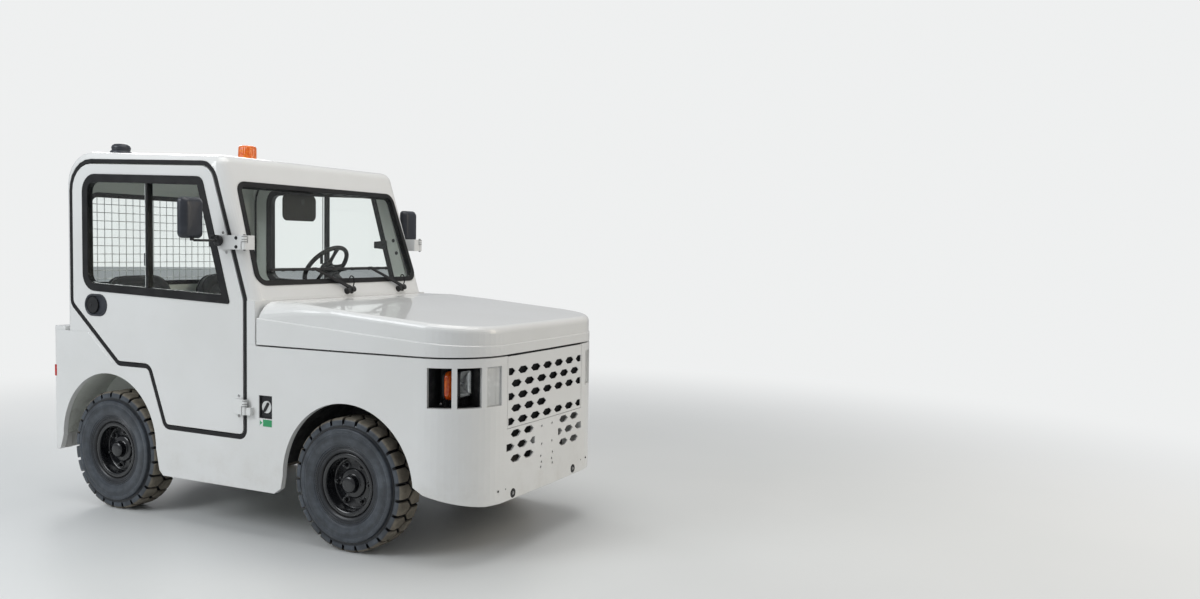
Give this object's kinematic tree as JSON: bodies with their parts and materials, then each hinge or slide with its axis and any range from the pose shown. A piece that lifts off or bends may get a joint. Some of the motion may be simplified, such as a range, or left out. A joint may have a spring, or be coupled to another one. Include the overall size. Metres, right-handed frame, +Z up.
{
  "type": "airport tow tractor",
  "caption": "Airport tow tractor with a two-seat cab, rounded nose with a pierced grille, opening doors and bonnet, steered front wheels and a rear tow coupling.",
  "frame": {"origin": "on the ground under the middle of the vehicle's bounding box", "axes": "+X forward towards the nose, +Y to the driver's left, +Z up"},
  "size_m": [2.948, 1.94, 2.1324],
  "materials": {
    "white_paint": "gloss",
    "black_rubber": "matte",
    "glass": "clear",
    "lamp_glass": "clear",
    "orange_lens": "gloss",
    "beacon_lens": "gloss",
    "red_lens": "gloss",
    "tyre": "matte",
    "black_rim": "satin",
    "black_plastic": "matte",
    "black_metal": "satin",
    "seat_cover": "matte",
    "dark_steel": "satin"
  },
  "bodies": {
    "chassis": {"chassis_frame": "dark_steel", "battery_pack": "dark_steel", "body_shell": "white_paint", "grille_panel": "white_paint", "arch_liners": "black_plastic", "rear_deck": "white_paint", "cab_floor": "white_paint", "cab_shell": "white_paint", "rubber_seals": "black_rubber", "cab_glass": "glass", "window_guard": "dark_steel", "dashboard": "black_plastic", "steering_column": "black_plastic", "seats": "seat_cover", "sun_visor": "black_plastic", "wipers": "black_metal", "headlamps": "lamp_glass", "indicators": "orange_lens", "lamp_pockets": "black_plastic", "rear_lamps": "red_lens", "roof_lamps": "beacon_lens", "isolator_switch": "black_plastic", "front_axle": "dark_steel", "rear_axle": "dark_steel", "rear_coupling": "dark_steel"},
    "bonnet_lid": {"bonnet": "white_paint", "bonnet_hinges": "dark_steel"},
    "door_right": {"door_panel_right": "white_paint", "door_window_right": "black_rubber", "door_glass_right": "glass", "door_fittings_right": "black_plastic"},
    "door_left": {"door_panel_left": "white_paint", "door_window_left": "black_rubber", "door_glass_left": "glass", "door_fittings_left": "black_plastic"},
    "steering_wheel": {"steering_wheel": "black_plastic"},
    "knuckle_right": {"knuckle_right": "dark_steel"},
    "knuckle_left": {"knuckle_left": "dark_steel"},
    "tie_rod": {"tie_rod": "dark_steel"},
    "wheel_front_right": {"rim_front_right": "black_rim", "tyre_front_right": "tyre"},
    "wheel_front_left": {"rim_front_left": "black_rim", "tyre_front_left": "tyre"},
    "wheel_rear_right": {"rim_rear_right": "black_rim", "tyre_rear_right": "tyre"},
    "wheel_rear_left": {"rim_rear_left": "black_rim", "tyre_rear_left": "tyre"}
  },
  "joints": [
    {"name": "door_right_hinge", "type": "hinge", "parent": "chassis", "child": "door_right", "pos_m": [0.092, -0.744, 1.1], "axis": [0, 0, 1], "range_deg": [0, 75]},
    {"name": "door_left_hinge", "type": "hinge", "parent": "chassis", "child": "door_left", "pos_m": [0.092, 0.744, 1.1], "axis": [0, 0, -1], "range_deg": [0, 75]},
    {"name": "bonnet_hinge", "type": "hinge", "parent": "chassis", "child": "bonnet_lid", "pos_m": [0.2, 0, 1.185], "axis": [0, -1, 0], "range_deg": [0, 55]},
    {"name": "steer_right", "type": "hinge", "parent": "chassis", "child": "knuckle_right", "pos_m": [0.723, -0.48, 0.338], "axis": [0, 0, 1], "range_deg": [-32, 32]},
    {"name": "steer_left", "type": "hinge", "parent": "chassis", "child": "knuckle_left", "pos_m": [0.723, 0.48, 0.338], "axis": [0, 0, 1], "range_deg": [-32, 32]},
    {"name": "tie_rod_pivot", "type": "hinge", "parent": "knuckle_right", "child": "tie_rod", "pos_m": [0.573, -0.48, 0.265], "axis": [0, 0, 1], "range_deg": [-32, 32]},
    {"name": "steering_wheel_turn", "type": "hinge", "parent": "chassis", "child": "steering_wheel", "pos_m": [-0.325, 0.33, 1.395], "axis": [-0.766, 0, 0.6428], "range_deg": [-480, 480]},
    {"name": "wheel_front_right_spin", "type": "hinge", "parent": "knuckle_right", "child": "wheel_front_right", "pos_m": [0.723, -0.612, 0.338], "axis": [0, 1, 0], "continuous": true},
    {"name": "wheel_front_left_spin", "type": "hinge", "parent": "knuckle_left", "child": "wheel_front_left", "pos_m": [0.723, 0.612, 0.338], "axis": [0, 1, 0], "continuous": true},
    {"name": "wheel_rear_right_spin", "type": "hinge", "parent": "chassis", "child": "wheel_rear_right", "pos_m": [-0.975, -0.612, 0.338], "axis": [0, 1, 0], "continuous": true},
    {"name": "wheel_rear_left_spin", "type": "hinge", "parent": "chassis", "child": "wheel_rear_left", "pos_m": [-0.975, 0.612, 0.338], "axis": [0, 1, 0], "continuous": true}
  ],
  "couplings": [
    {"joint": "steer_left", "follows": "steer_right", "ratio": 1},
    {"joint": "tie_rod_pivot", "follows": "steer_right", "ratio": -1},
    {"joint": "steering_wheel_turn", "follows": "steer_right", "ratio": 15}
  ]
}
